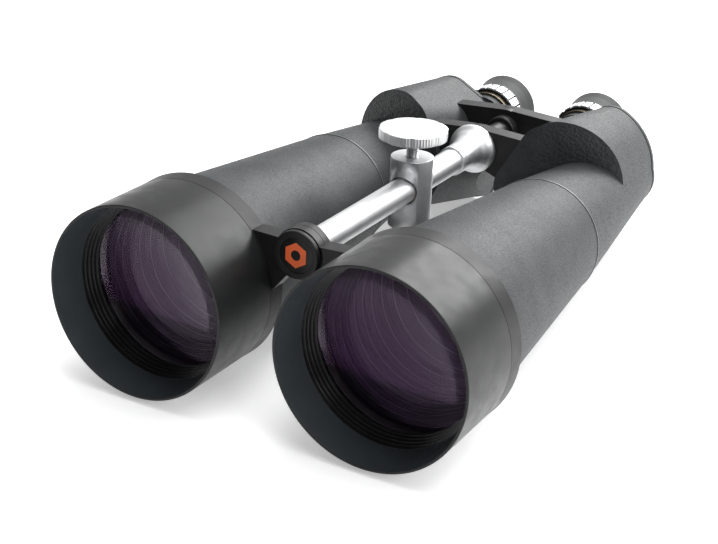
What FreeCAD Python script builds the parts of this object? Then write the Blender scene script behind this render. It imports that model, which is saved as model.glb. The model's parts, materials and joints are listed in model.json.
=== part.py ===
"""Giant astronomy binoculars: two Porro halves on one hinge line, with a tripod bar and clamp post.

The design frame puts the two barrel axes at height 0, one on each side of the YZ plane, with the
rim of the bells at y = 0 and the eyepieces towards +Y. The hinge axis runs along Y above them.
Every piece is built in the design frame and then laid down by the same resting placement: the
binoculars stand on the rear edges of the objective rings and on the rear covers, tails low.
Left is the side of the user's left eye, which is +X. All sizes are millimetres.
"""
import FreeCAD, Part
import Sketcher
import math
import os

Vector = FreeCAD.Vector
Rotation = FreeCAD.Rotation
Placement = FreeCAD.Placement

doc = FreeCAD.newDocument("AstronomyBinoculars")
sheet = doc.addObject("Spreadsheet::Sheet", "Sizes")

SIZES = {
    "Layout": {
        "barrel_x": 74.63,          # half the distance between the two barrel axes
        "hinge_height": 29.94,      # hinge axis above the barrel axes
        "eye_x": 36.6,              # eyepiece axis from the middle
        "eye_height": 18.6,
    },
    "Objective bell": {
        "rim_radius": 58.0,
        "rim_chamfer": 0.6,
        "lip_radius": 56.4,
        "lip_end_y": 22.3,
        "lip_end_radius": 53.54,
        "bell_end_y": 51.5,
        "cell_radius": 55.5,        # outside of the lens cell and the retainer
        "cell_fit": 0.1,
    },
    "Lens retainer": {
        "step_width": 0.8,
        "step_depth": 2.6,
        "retainer_end_y": 34.5,
        "clear_radius": 50.0,
    },
    "Objective lens": {
        "lens_radius": 52.0,
        "crown_front_y": 29.4,
        "crown_rear_y": 44.8,
        "lens_curve": 240.0,
        "air_gap": 0.4,
        "flint_rear_y": 51.1,
        "flint_rear_curve": 900.0,
        "cell_start_y": 34.8,
        "cell_seat_y": 50.0,
        "cell_end_y": 55.0,
        "cell_lip_radius": 49.6,
        "cell_seat_radius": 52.2,
    },
    "Objective ring and front hinge arm": {
        "ring_start_y": 51.8,
        "ring_front_radius": 57.93,
        "ring_radius": 58.39,
        "ring_end_y": 64.0,
        "ring_edge": 0.8,
        "ring_lip_y": 60.8,
        "ring_lip_radius": 53.3,
        "arm_start_y": 53.0,
        "arm_top": 36.6,
        "arm_outer_x": 33.0,
        "arm_outer_top": 37.8,
        "arm_low_x": 18.5,
        "arm_low": 2.0,
        "arm_inner_x": 5.0,
        "arm_inner_low": 18.0,
    },
    "Front knuckles": {
        "knuckle_radius": 15.0,
        "knuckle_gap": 0.4,
        "knuckle_start_y": 53.3,
        "knuckle_middle_y": 59.0,
        "knuckle_end_y": 64.4,
    },
    "Barrel": {
        "barrel_front_radius": 53.44,
        "barrel_rear_radius": 38.88,
        "seam_y": 222.13,
        "seam_lip_width": 0.9,
        "seam_lip_height": 0.45,
        "barrel_wall": 2.2,
        "spigot_y": 61.2,
        "spigot_radius": 53.2,
        "rear_spigot_y": 229.5,
        "rear_spigot_radius": 35.3,
        "rear_spigot_wall": 1.6,
    },
    "Baffle": {
        "baffle_start_y": 56.0,
        "baffle_pitch": 7.4,
        "baffle_tooth": 1.6,
        "baffle_front_radius": 49.2,
        "baffle_rear_radius": 34.8,
        "baffle_wall": 1.0,
        "baffle_depth": 1.6,
    },
    "Prism housing": {
        "cone_tail_radius": 21.5,
        "housing_wall": 2.6,
        "housing_end_y": 366.5,
        "tail_y": 371.0,
        "lobe_front_y": 255.0,
        "lobe_front_x": 61.4,
        "lobe_front_height": 19.4,
        "lobe_rear_x": 49.2,
        "lobe_rear_height": 4.0,
        "lobe_rear_radius": 45.7,
        "lobe_growth": 0.0475,      # radius gained per millimetre towards the tail
        "lobe_spare": 20.0,         # extra length of the lobe's cone at both ends, cut off later
        "face_slope": 20.3,         # degrees, the front face leans back towards the outside
        "face_y": 275.9,            # front face at x = 36.4
        "face_x": 36.4,
        "face_wall": 3.0,
        "upper_flat_angle": 59.5,   # degrees from the level that each flat's normal points up
        "upper_flat_reach": 39.0,   # from the lobe's middle to the flat, at the middle's own y
        "upper_flat_taper": 7.5,    # degrees that this flat closes in towards the tail
        "lower_flat_angle": 28.4,
        "lower_flat_reach": 33.9,
        "lobe_middle_x": 57.5,
        "lobe_middle_y": 285.0,
        "lobe_middle_height": 14.5,
        "flat_rounding": 18.0,
        "fold_in": 41.0,            # degrees the halves close until the housings nearly meet
        "fold_clearance": 0.7,
        "cover_gap": 0.5,
        "cover_rim": 0.4,
    },
    "Rear lugs": {
        "lug_front_y": 276.4,
        "lug_front_middle_y": 282.1,
        "lug_front_end_y": 287.8,
        "lug_rear_y": 326.2,
        "lug_rear_middle_y": 332.0,
        "lug_rear_end_y": 337.8,
        "lug_radius": 14.0,
        "lug_clearance": 0.4,
        "lug_outer_x": 38.0,
        "lug_outer_top": 41.6,
        "lug_inner_x": 2.0,
        "lug_inner_top": 43.9,
        "lug_low_x": 26.0,
        "lug_low": 9.2,
        "lug_inner_low": 18.9,
    },
    "Prisms": {
        "prism_reach": 11.0,        # half the width of a prism
        "light_radius": 10.2,
        "shelf_fit": 0.1,
        "clip_fit": 0.1,
        "prism_shelf_y": 318.0,
        "shelf_thickness": 4.0,
        "clip_width": 8.0,
        "clip_thickness": 0.7,
    },
    "Rear cover": {
        "boss_radius": 17.4,
        "boss_start_y": 368.0,
        "boss_seat_y": 372.2,
        "boss_end_y": 374.4,
        "boss_seat_radius": 14.8,
        "cover_hole_radius": 10.6,
        "screw_circle": 36.0,
        "screw_head_radius": 2.9,
        "screw_shank_radius": 1.5,
        "screw_head_height": 1.8,
        "screw_length": 8.0,
    },
    "Eyepiece": {
        "socket_flange_radius": 18.9,
        "socket_end_y": 384.4,
        "slide_radius": 14.2,
        "slide_clearance": 0.05,
        "eyepiece_start_y": 375.2,
        "eyepiece_end_y": 400.0,
        "eyepiece_bore": 12.2,
        "field_lens_y": 377.0,
        "field_lens_end_y": 382.0,
        "eye_lens_y": 391.0,
        "eye_lens_end_y": 397.5,
        "eye_lens_radius": 11.8,
        "eye_lip_radius": 10.6,
        "eye_curve": 30.0,
    },
    "Focus ring and eyecup": {
        "focus_start_y": 378.6,
        "focus_web_y": 387.6,
        "focus_end_y": 391.6,
        "focus_radius": 21.5,
        "focus_bore": 19.4,
        "focus_edge": 0.5,
        "slot_count": 20,
        "slot_width": 1.5,
        "slot_depth": 0.9,
        "cup_neck_radius": 21.2,
        "cup_waist_radius": 20.6,
        "cup_waist_y": 395.0,
        "cup_rim_radius": 23.9,
        "cup_end_y": 409.3,
        "cup_wall": 1.5,
        "cup_floor_y": 394.6,
    },
    "Tripod bar": {
        "bar_radius": 8.33,
        "bar_start_y": 64.8,
        "bar_end_y": 262.0,
        "bar_spigot_radius": 6.0,
        "bar_spigot_y": 53.2,
        "turn_clearance": 0.05,
        "sleeve_radius": 9.59,
        "sleeve_start_y": 243.3,
        "sleeve_straight_y": 258.0,
        "sleeve_flare_y": 268.5,
        "sleeve_flare_radius": 12.4,
        "flange_radius": 16.47,
        "flange_y": 274.8,
        "flange_end_y": 276.0,
    },
    "Hinge axle": {
        "axle_radius": 5.0,
        "axle_start_y": 240.0,
        "axle_end_y": 345.0,
        "tube_radius": 7.5,
        "tube_start_y": 288.2,
        "tube_end_y": 318.6,
        "collar_radius": 10.6,
        "collar_end_y": 325.8,
        "nut_start_y": 338.2,
        "nut_end_y": 342.6,
        "nut_across_flats": 15.0,
        "end_cap_radius": 11.0,
        "end_cap_y": 347.4,
        "end_cap_wall": 1.4,
    },
    "Hub cap": {
        "hub_radius": 14.5,
        "hub_start_y": 49.6,
        "hub_end_y": 52.9,
        "badge_radius": 10.5,
        "badge_thickness": 0.6,
        "badge_depth": 0.6,
        "hub_screw_radius": 2.5,
        "hub_screw_head": 4.5,
        "hub_screw_head_y": 52.0,
        "hub_screw_end_y": 66.0,
    },
    "Tripod post": {
        "post_y": 186.7,
        "post_radius": 13.31,
        "post_above": 19.84,        # top of the post above the hinge axis
        "post_below": 29.0,
        "post_top_edge": 0.5,
        "post_foot_edge": 4.0,
        "bush_radius": 9.3,
        "bush_fit": 0.05,
        "bush_half": 9.2,
        "insert_radius": 5.5,
        "insert_depth": 14.0,
        "thread_radius": 2.6,       # minor radius of a quarter-inch tripod thread
    },
    "Clamp": {
        "pad_radius": 3.6,
        "pad_lift": 0.5,
        "pad_height": 2.4,
        "stud_radius": 4.0,
        "stud_clearance": 0.1,
        "knob_radius": 21.5,
        "knob_underside": 31.64,    # above the hinge axis
        "knob_top": 37.86,
        "knob_edge": 0.6,
        "flute_count": 36,
        "flute_radius": 0.9,
        "flute_sink": 0.3,
    },
}

ALIASES = set()


def fill_sheet():
    """Write every driving size into the spreadsheet, one named cell to a row."""
    row = 1
    for section, cells in SIZES.items():
        sheet.set("A%d" % row, section)
        row += 1
        for alias, number in cells.items():
            sheet.set("A%d" % row, alias)
            sheet.set("B%d" % row, str(number))
            sheet.setAlias("B%d" % row, alias)
            ALIASES.add(alias)
            row += 1
    doc.recompute()


fill_sheet()


# ---------------------------------------------------------------- sizes and formulas

def size(formula):
    """The number that a formula of sheet names stands for, such as 'ring_end_y - 2 * ring_edge'."""
    total = 0.0
    for term in formula.replace(" - ", " + -1 * ").split(" + "):
        product = 1.0
        for factor in term.split(" * "):
            product *= float(sheet.get(factor)) if factor in ALIASES else float(factor)
        total += product
    return total


def span(start, end):
    """The formula for the way from `start` to `end`: every sign inside `start` turns round."""
    turned_round = start.replace(" + ", " ? ").replace(" - ", " + ").replace(" ? ", " - ")
    return end + " - " + turned_round


def bound(formula):
    """The same formula as an expression on the spreadsheet."""
    return " ".join("Sizes." + word if word in ALIASES else word for word in formula.split())


def bind(piece, **formulas):
    """Bind properties of a Part primitive or feature to sheet formulas."""
    for prop, formula in formulas.items():
        piece.setExpression(prop, bound(formula))
    return piece


# ---------------------------------------------------------------- resting placement

REST_EDGE = Vector(0, size("ring_end_y - ring_edge"), -size("ring_radius"))
LOBE_DROP = size("lobe_front_height - lobe_rear_height") / size("tail_y - lobe_front_y")
LOBE_DEPTH = size("lobe_rear_radius") * math.hypot(1, LOBE_DROP)
REST_TAIL = Vector(0, size("tail_y"), size("lobe_rear_height - cover_rim") - LOBE_DEPTH)
REST_TILT = math.degrees(math.atan2(REST_TAIL.z - REST_EDGE.z, REST_TAIL.y - REST_EDGE.y))
TIP = Rotation(Vector(1, 0, 0), -REST_TILT)
FOREMOST = TIP.multVec(Vector(0, 0, -size("rim_radius")))
REARMOST = TIP.multVec(Vector(0, size("cup_end_y"), size("eye_height + cup_rim_radius")))
REST = Placement(Vector(0, -(FOREMOST.y + REARMOST.y) / 2, -TIP.multVec(REST_EDGE).z), TIP)

PIECES = {}


def keep(label, piece, at=Placement()):
    """Lay a finished piece down on the ground and list it for export under its own label."""
    piece.Placement = REST.multiply(at)
    piece.Label = label
    PIECES[label] = piece
    return piece


def keep_both(name, piece, at=Placement()):
    """A piece that both halves have: the left one, and its mirror image on the right."""
    keep("left_" + name, piece, at)
    keep_mirrored("right_" + name, piece)


def keep_mirrored(label, piece):
    image = doc.addObject("Part::Mirroring", label)
    image.Source = piece
    image.Base = Vector(0, 0, 0)
    image.Normal = Vector(1, 0, 0)
    image.Label = label
    PIECES[label] = image
    return image


def on_barrel():
    return Placement(Vector(size("barrel_x"), 0, 0), Rotation())


def on_eyepiece():
    return Placement(Vector(size("eye_x"), 0, size("eye_height")), Rotation())


def on_hinge():
    return Placement(Vector(0, 0, size("hinge_height")), Rotation())


# ---------------------------------------------------------------- sketch helpers

def plane_of(body, role):
    for feature in body.Origin.OriginFeatures:
        if feature.Role == role:
            return feature


def new_sketch(body, role, name, shift=None):
    """A sketch on one of the body's own planes; `shift` gives formulas for its offset."""
    sketch = body.newObject("Sketcher::SketchObject", name)
    sketch.AttachmentSupport = [(plane_of(body, role), "")]
    sketch.MapMode = "FlatFace"
    for axis, formula in (shift or {}).items():
        sketch.setExpression("AttachmentOffset.Base." + axis, bound(formula))
    return sketch


def fix_coordinate(sketch, geo, pos, kind, formula):
    """Hold one coordinate of a sketch point at a sheet formula; zero puts it on the axis."""
    if formula == "0":
        axis = -2 if kind == "DistanceX" else -1
        sketch.addConstraint(Sketcher.Constraint("PointOnObject", geo, pos, axis))
        return
    index = sketch.addConstraint(Sketcher.Constraint(kind, -1, 1, geo, pos, size(formula)))
    sketch.setExpression("Constraints[%d]" % index, bound(formula))


def draw_outline(sketch, corners):
    """A closed outline of straight lines through corners given as pairs of formulas."""
    points = [Vector(size(across), size(up), 0) for across, up in corners]
    count = len(points)
    for i in range(count):
        sketch.addGeometry(Part.LineSegment(points[i], points[(i + 1) % count]), False)
    for i in range(count):
        sketch.addConstraint(Sketcher.Constraint("Coincident", i, 2, (i + 1) % count, 1))
    for i, (across, up) in enumerate(corners):
        fix_coordinate(sketch, i, 1, "DistanceX", across)
        fix_coordinate(sketch, i, 1, "DistanceY", up)


def draw_circle(sketch, across, up, radius):
    centre = Vector(size(across), size(up), 0)
    geo = sketch.addGeometry(Part.Circle(centre, Vector(0, 0, 1), size(radius)), False)
    fix_coordinate(sketch, geo, 3, "DistanceX", across)
    fix_coordinate(sketch, geo, 3, "DistanceY", up)
    index = sketch.addConstraint(Sketcher.Constraint("Radius", geo, size(radius)))
    sketch.setExpression("Constraints[%d]" % index, bound(radius))


def new_body(name):
    return doc.addObject("PartDesign::Body", name)


def revolve(body, name, corners, shift=None, kind="Revolution"):
    """Turn a section about the sketch's own upright axis, as added or as cut material."""
    sketch = new_sketch(body, "XY_Plane", name + "_section", shift)
    draw_outline(sketch, corners)
    turn = body.newObject("PartDesign::" + kind, name)
    turn.Profile = sketch
    turn.ReferenceAxis = (sketch, ["V_Axis"])
    turn.Angle = 360.0
    sketch.Visibility = False
    return turn


def turned(name, corners):
    """A body that is one turned piece; corners are (radius, along) formulas."""
    body = new_body(name)
    revolve(body, name + "_turning", corners)
    return body


def along_y(body, name, start, end, draw, kind="Pad"):
    """Pad or pocket a drawing on the XZ plane over a stretch of Y. `draw` fills the sketch."""
    sketch = new_sketch(body, "XZ_Plane", name + "_outline", {"z": span(end, "0")})
    draw(sketch)
    feature = body.newObject("PartDesign::" + kind, name)
    feature.Profile = sketch
    feature.setExpression("Length", bound(span(start, end)))
    feature.Reversed = kind == "Pocket"
    sketch.Visibility = False
    return feature


# ---------------------------------------------------------------- Part helpers

ALONG_Y = Rotation(Vector(1, 0, 0), -90)


def rod(name, radius, start, end, across="0", up="0"):
    """A Part cylinder that lies along Y between two formulas."""
    piece = doc.addObject("Part::Cylinder", name)
    bind(piece, Radius=radius, Height=span(start, end))
    piece.Placement = Placement(Vector(size(across), size(start), size(up)), ALONG_Y)
    return piece


def fuse(name, pieces):
    union = doc.addObject("Part::MultiFuse", name)
    union.Shapes = pieces
    return union


def common(name, pieces):
    overlap = doc.addObject("Part::MultiCommon", name)
    overlap.Shapes = pieces
    return overlap


def cut(name, base, tool):
    result = doc.addObject("Part::Cut", name)
    result.Base = base
    result.Tool = tool
    return result


def slab(name, start, end):
    """A wide block between two Y formulas, used to take a slice of the housing's shape."""
    block = doc.addObject("Part::Box", name)
    block.Length = 200
    block.Height = 200
    block.setExpression("Width", bound(span(start, end)))
    block.Placement = Placement(Vector(-20, size(start), -100), Rotation())
    return block


def ball(name, radius, along, across="0", up="0"):
    sphere = doc.addObject("Part::Sphere", name)
    sphere.setExpression("Radius", bound(radius))
    sphere.Placement = Placement(Vector(size(across), size(along), size(up)), Rotation())
    return sphere


# ---------------------------------------------------------------- objective end

def objective_bell():
    body = turned("Bell", [
        ("rim_radius", "rim_chamfer"),
        ("rim_radius - rim_chamfer", "0"),
        ("lip_radius + rim_chamfer", "0"),
        ("lip_radius", "rim_chamfer"),
        ("lip_end_radius", "lip_end_y"),
        ("cell_radius + cell_fit", "lip_end_y"),
        ("cell_radius + cell_fit", "bell_end_y"),
        ("rim_radius", "bell_end_y"),
    ])
    keep_both("objective_bell", body, on_barrel())


def lens_retainer():
    """Four steps run down from the lip to the clear aperture."""
    corners = [("cell_radius", "retainer_end_y"), ("cell_radius", "lip_end_y + cell_fit")]
    for i in range(4):
        radius = "lip_end_radius - 0.2 - %d * step_width" % i
        if i > 0:
            corners.append((radius, "lip_end_y + cell_fit + %d * step_depth" % i))
        else:
            corners.append((radius, "lip_end_y + cell_fit"))
        corners.append((radius, "lip_end_y + cell_fit + %d * step_depth" % (i + 1)))
    corners.append(("clear_radius", "lip_end_y + cell_fit + 4 * step_depth"))
    corners.append(("clear_radius", "retainer_end_y"))
    keep_both("lens_retainer", turned("Retainer", corners), on_barrel())


def lens_cell():
    body = turned("Cell", [
        ("cell_radius", "cell_start_y"),
        ("cell_seat_radius", "cell_start_y"),
        ("cell_seat_radius", "cell_seat_y"),
        ("cell_lip_radius", "cell_seat_y"),
        ("cell_lip_radius", "cell_end_y"),
        ("cell_radius", "cell_end_y"),
    ])
    keep_both("lens_cell", body, on_barrel())


def crown_lens():
    disc = rod("Crown_disc", "lens_radius", "crown_front_y", "crown_rear_y")
    front = ball("Crown_front", "lens_curve", "crown_front_y + lens_curve")
    rear = ball("Crown_rear", "lens_curve", "crown_rear_y - lens_curve")
    keep_both("crown_lens", common("Crown", [disc, front, rear]), on_barrel())


def flint_lens():
    disc = rod("Flint_disc", "lens_radius", "crown_front_y + 10", "flint_rear_y")
    hollow = ball("Flint_hollow", "lens_curve", "crown_rear_y + air_gap - lens_curve")
    rear = ball("Flint_rear", "flint_rear_curve", "flint_rear_y - flint_rear_curve")
    keep_both("flint_lens", cut("Flint", common("Flint_blank", [disc, rear]), hollow), on_barrel())


def objective_ring(label, own_start, own_end, other_start, other_end, bore, mirrored):
    """The ring behind a bell, with the arm that reaches the hinge and its own knuckle on it.

    The other half's knuckle gets a clear round notch beside this one's.
    """
    body = new_body(label + "_body")
    on_axis = {"x": "barrel_x"}
    revolve(body, label + "_ring", [
        ("ring_lip_radius - 6", "ring_start_y"),
        ("ring_front_radius", "ring_start_y"),
        ("ring_radius", "ring_end_y - ring_edge"),
        ("ring_radius - ring_edge", "ring_end_y"),
        ("ring_lip_radius - 6", "ring_end_y"),
    ], on_axis)

    def arm(sketch):
        draw_outline(sketch, [
            ("arm_inner_x", "arm_top"),
            ("arm_outer_x", "arm_outer_top"),
            ("arm_low_x", "arm_low"),
            ("arm_inner_x", "arm_inner_low"),
        ])

    def notch(sketch):
        draw_circle(sketch, "0", "hinge_height", "knuckle_radius + knuckle_gap")

    def knuckle(sketch):
        draw_circle(sketch, "0", "hinge_height", "knuckle_radius")

    def hole(sketch):
        draw_circle(sketch, "0", "hinge_height", bore)

    along_y(body, label + "_arm", "arm_start_y", "ring_end_y", arm)
    along_y(body, label + "_notch", other_start, other_end, notch, "Pocket")
    along_y(body, label + "_knuckle", own_start, own_end, knuckle)
    along_y(body, label + "_hole", "knuckle_start_y - 2", "knuckle_end_y + 2", hole, "Pocket")
    revolve(body, label + "_seat", [
        ("ring_lip_radius - 8", "ring_start_y - 1"),
        ("cell_radius + cell_fit", "ring_start_y - 1"),
        ("cell_radius + cell_fit", "ring_lip_y"),
        ("ring_lip_radius", "ring_lip_y"),
        ("ring_lip_radius", "ring_end_y + 1"),
        ("ring_lip_radius - 8", "ring_end_y + 1"),
    ], on_axis, "Groove")
    if mirrored:
        keep_mirrored(label, lay_down(body))
    else:
        keep(label, body)


def lay_down(piece):
    """Give the resting placement to a piece that is only the source of a mirror image."""
    piece.Placement = REST
    return piece


def objective_rings():
    objective_ring("left_objective_ring", "knuckle_middle_y + 0.2", "knuckle_end_y",
                   "arm_start_y - 1", "knuckle_middle_y", "bar_spigot_radius", False)
    objective_ring("right_objective_ring", "knuckle_start_y", "knuckle_middle_y - 0.2",
                   "knuckle_middle_y", "ring_end_y + 1", "bar_spigot_radius + turn_clearance", True)


def barrel_tube():
    body = turned("Barrel", [
        ("spigot_radius", "spigot_y"),
        ("spigot_radius", "ring_end_y"),
        ("barrel_front_radius", "ring_end_y"),
        ("barrel_rear_radius", "seam_y - seam_lip_width"),
        ("barrel_rear_radius + seam_lip_height", "seam_y - seam_lip_width"),
        ("barrel_rear_radius + seam_lip_height", "seam_y"),
        ("rear_spigot_radius", "seam_y"),
        ("rear_spigot_radius", "rear_spigot_y"),
        ("rear_spigot_radius - rear_spigot_wall", "rear_spigot_y"),
        ("barrel_rear_radius - 2 * barrel_wall", "seam_y - 4"),
        ("spigot_radius - barrel_wall", "spigot_y"),
    ])
    keep_both("barrel_tube", body, on_barrel())


BAFFLE_RIBS = 20


def baffle_tube():
    """A cone shell with square ribs inside, narrowing by the same step at each rib."""
    step = "%.6f" % ((size("baffle_front_radius") - size("baffle_rear_radius")) / BAFFLE_RIBS)
    outside = []
    inside = []
    for i in range(BAFFLE_RIBS):
        radius = "baffle_front_radius - %d * %s" % (i, step)
        start = "baffle_start_y + %d * baffle_pitch" % i
        after = "baffle_start_y + %d * baffle_pitch" % (i + 1)
        outside += [(radius, start), (radius, after)]
        inner = radius + " - baffle_wall"
        inside += [(inner + " - baffle_depth", start),
                   (inner + " - baffle_depth", start + " + baffle_tooth"),
                   (inner, start + " + baffle_tooth"),
                   (inner, after)]
    keep_both("baffle_tube", turned("Baffle", outside + inside[::-1]), on_barrel())


# ---------------------------------------------------------------- prism housing

def lobe(name, inset):
    """The rounded lobe over the prisms, `inset` inside its true surface, with two flats.

    It is a cone that leans in and down as it widens towards the tail. The flats are on the hinge
    side, and large roundings blend them into it.
    """
    front = Vector(size("lobe_front_x"), size("lobe_front_y"), size("lobe_front_height"))
    rear = Vector(size("lobe_rear_x"), size("tail_y"), size("lobe_rear_height"))
    along = Vector(rear - front).normalize()
    spare = size("lobe_spare")
    length = (rear - front).Length
    drum = doc.addObject("Part::Cone", name + "_lobe")
    bind(drum, Radius2=span(inset, "lobe_rear_radius + lobe_growth * lobe_spare"))
    drum.Radius1 = size(span(inset, "lobe_rear_radius")) - size("lobe_growth") * (length + spare)
    drum.Height = length + 2 * spare
    drum.Placement = Placement(front - along * spare, Rotation(Vector(0, 0, 1), along))
    flats = fuse(name + "_flats", [flat_cutter(name, "upper", inset), flat_cutter(name, "lower", inset)])
    flattened = cut(name + "_flattened", drum, flats)
    doc.recompute()
    rounded = doc.addObject("Part::Fillet", name + "_rounded")
    rounded.Base = flattened
    radius = size(span(inset, "flat_rounding"))
    rounded.Edges = [(index + 1, radius, radius) for index in lengthwise_edges(flattened.Shape)]
    return rounded


def lengthwise_edges(shape):
    """Edges that run from the front to the rear of the lobe, on its flats."""
    found = []
    for index, edge in enumerate(shape.Edges):
        box = edge.BoundBox
        on_hinge_side = box.Center.x < size("lobe_middle_x + 10")
        if box.YLength > 60 and on_hinge_side:
            found.append(index)
    return found


def flat_cutter(name, which, inset):
    """A block whose near side is one of the lobe's flats."""
    block = doc.addObject("Part::Box", name + "_" + which + "_flat")
    block.Length = 60
    block.Width = 300
    block.Height = 200
    facing = Rotation(Vector(0, 1, 0), 180 + size(which + "_flat_angle"))
    taper = Rotation(Vector(0, 0, 1), size("upper_flat_taper") if which == "upper" else 0)
    middle = Vector(size("lobe_middle_x"), size("lobe_middle_y"), size("lobe_middle_height"))
    reach = Vector(size(span(inset, which + "_flat_reach")), 0, 0)
    turn = facing.multiply(taper)
    block.Placement = Placement(middle + facing.multVec(reach) + turn.multVec(Vector(0, -150, -100)), turn)
    return block


def fold_cutter(name, inset):
    """A block beyond the plane where the two halves would meet when folded fully in."""
    block = doc.addObject("Part::Box", name)
    block.Length = 60
    block.Width = 300
    block.Height = 200
    facing = Rotation(Vector(0, 1, 0), 180 - size("fold_in") / 2)
    hinge = Vector(0, size("lobe_middle_y"), size("hinge_height"))
    corner = Vector(size(span(inset, "-1 * fold_clearance")), -150, -100)
    block.Placement = Placement(hinge + facing.multVec(corner), facing)
    return block


def face_cutter(name, shift):
    """A block in front of the lobe's leaning face, moved back by `shift`."""
    block = doc.addObject("Part::Box", name)
    block.Length = 300
    block.Width = 100
    block.Height = 300
    lean = Rotation(Vector(0, 0, 1), size("face_slope"))
    on_face = Vector(size("face_x"), size("face_y + " + shift), 0)
    block.Placement = Placement(on_face + lean.multVec(Vector(-150, -100, -150)), lean)
    return block


def housing_form(name, inset, face_shift):
    """Lobe and tapering barrel end as one solid that runs back to the tail."""
    trims = fuse(name + "_trims", [
        face_cutter(name + "_face", face_shift),
        fold_cutter(name + "_fold", inset),
    ])
    front = cut(name + "_trimmed", lobe(name, inset), trims)
    cone = doc.addObject("Part::Cone", name + "_cone")
    bind(cone, Radius1=span(inset, "barrel_rear_radius"), Radius2=span(inset, "cone_tail_radius"),
         Height="tail_y - seam_y")
    cone.Placement = Placement(Vector(size("barrel_x"), size("seam_y"), 0), ALONG_Y)
    whole = fuse(name + "_whole", [front, cone])
    return cut(name + "_form", whole, slab(name + "_tail", "tail_y", "tail_y + 40"))


def lug(name, start, middle, end, own_first, bore):
    """One hinge lug: a plate from the housing to the hinge with half of its width as a knuckle."""
    own = (start, middle + " - 0.2") if own_first else (middle + " + 0.2", end)
    other = (middle, end + " + 1") if own_first else (start + " - 1", middle)
    body = new_body(name)

    def plate(sketch):
        draw_outline(sketch, [
            ("lug_inner_x", "lug_inner_top"),
            ("lug_outer_x", "lug_outer_top"),
            ("lug_low_x", "lug_low"),
            ("lug_inner_x", "lug_inner_low"),
        ])

    def notch(sketch):
        draw_circle(sketch, "0", "hinge_height", "lug_radius + lug_clearance")

    def knuckle(sketch):
        draw_circle(sketch, "0", "hinge_height", "lug_radius")

    def hole(sketch):
        draw_circle(sketch, "0", "hinge_height", bore)

    along_y(body, name + "_plate", start, end, plate)
    along_y(body, name + "_notch", other[0], other[1], notch, "Pocket")
    along_y(body, name + "_knuckle", own[0], own[1], knuckle)
    along_y(body, name + "_hole", start + " - 2", end + " + 2", hole, "Pocket")
    return body


def prism_housing(label, own_first, bore):
    """The die-cast housing: a shell with an open tail and two lugs."""
    outside = housing_form(label + "_outer", "0", "0")
    lugs = [
        lug(label + "_front_lug", "lug_front_y", "lug_front_middle_y", "lug_front_end_y", own_first, bore),
        lug(label + "_rear_lug", "lug_rear_y", "lug_rear_middle_y", "lug_rear_end_y", own_first, bore),
    ]
    solid = fuse(label + "_solid", [outside] + lugs)
    inside = housing_form(label + "_inner", "housing_wall", "face_wall")
    ends = fuse(label + "_ends", [
        slab(label + "_front_end", "seam_y - 5", "seam_y + 0.2"),
        slab(label + "_rear_end", "housing_end_y", "tail_y + 5"),
    ])
    shell = cut(label + "_shell", cut(label + "_hollow", solid, inside), ends)
    if own_first:
        keep_mirrored(label, lay_down(shell))
    else:
        keep(label, shell)


def prism_housings():
    prism_housing("left_prism_housing", False, "axle_radius")
    prism_housing("right_prism_housing", True, "axle_radius + turn_clearance")


# ---------------------------------------------------------------- prisms

def light_path():
    """Where the light comes in, crosses from one prism to the other, and leaves to the eye."""
    start = Vector(size("barrel_x"), 0, 0)
    leave = Vector(size("eye_x"), 0, size("eye_height"))
    half_turn = Rotation(Vector(0, 1, 0), 45)
    middle = start + half_turn.multVec(leave - start) * math.sqrt(0.5)
    return start, middle, leave


def prism_frame(a, b, base_y):
    """A placement with X from a towards b, Y along the barrels, and its origin midway at base_y."""
    across = b - a
    turn = Rotation(Vector(0, 1, 0), -math.degrees(math.atan2(across.z, across.x)))
    middle = (a + b) * 0.5
    return Placement(Vector(middle.x, base_y, middle.z), turn)


def prism(name, a, b, base_y, facing):
    """A right-angle prism with rounded ends; `facing` is 1 when its ridge points to the tail."""
    reach = size("prism_reach")
    gap = (b - a).Length
    half = gap / 2 + reach
    frame = prism_frame(a, b, base_y)
    low = 0.0 if facing > 0 else -half
    square = doc.addObject("Part::Box", name + "_square")
    square.Length = square.Width = half * math.sqrt(2)
    bind(square, Height="2 * prism_reach")
    corner = Rotation(Vector(0, 0, 1), 45)
    square.Placement = frame.multiply(Placement(corner.multVec(
        Vector(-half / math.sqrt(2), -half / math.sqrt(2), 0)) + Vector(0, 0, -reach), corner))
    rounds = []
    for end in (-1, 1):
        peg = doc.addObject("Part::Cylinder", name + "_end")
        bind(peg, Radius="prism_reach")
        peg.Height = half
        peg.Placement = frame.multiply(Placement(Vector(end * gap / 2, low, 0), ALONG_Y))
        rounds.append(peg)
    waist = doc.addObject("Part::Box", name + "_waist")
    waist.Length = gap
    waist.Width = half
    bind(waist, Height="2 * prism_reach")
    waist.Placement = frame.multiply(Placement(Vector(-gap / 2, low, -reach), Rotation()))
    return common(name, [square, fuse(name + "_outline", rounds + [waist])])


def prism_clip(name, a, b, base_y, facing):
    """A sprung strap that goes over the prism's ridge and down both sides to the shelf."""
    wall = size("clip_thickness")
    reach = size("prism_reach + clip_fit")
    tall = (b - a).Length / 2 + size("prism_reach + clip_fit")
    frame = prism_frame(a, b, base_y)
    blocks = []
    for part, extra in (("outer", wall), ("inner", 0.0)):
        block = doc.addObject("Part::Box", name + "_" + part)
        bind(block, Length="clip_width" if extra else "clip_width + 4")
        block.Width = tall + extra
        block.Height = 2 * (reach + extra)
        low = 0.0 if facing > 0 else -(tall + extra)
        block.Placement = frame.multiply(Placement(
            Vector(-block.Length.Value / 2, low, -reach - extra), Rotation()))
        blocks.append(block)
    return cut(name, blocks[0], blocks[1])


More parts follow.
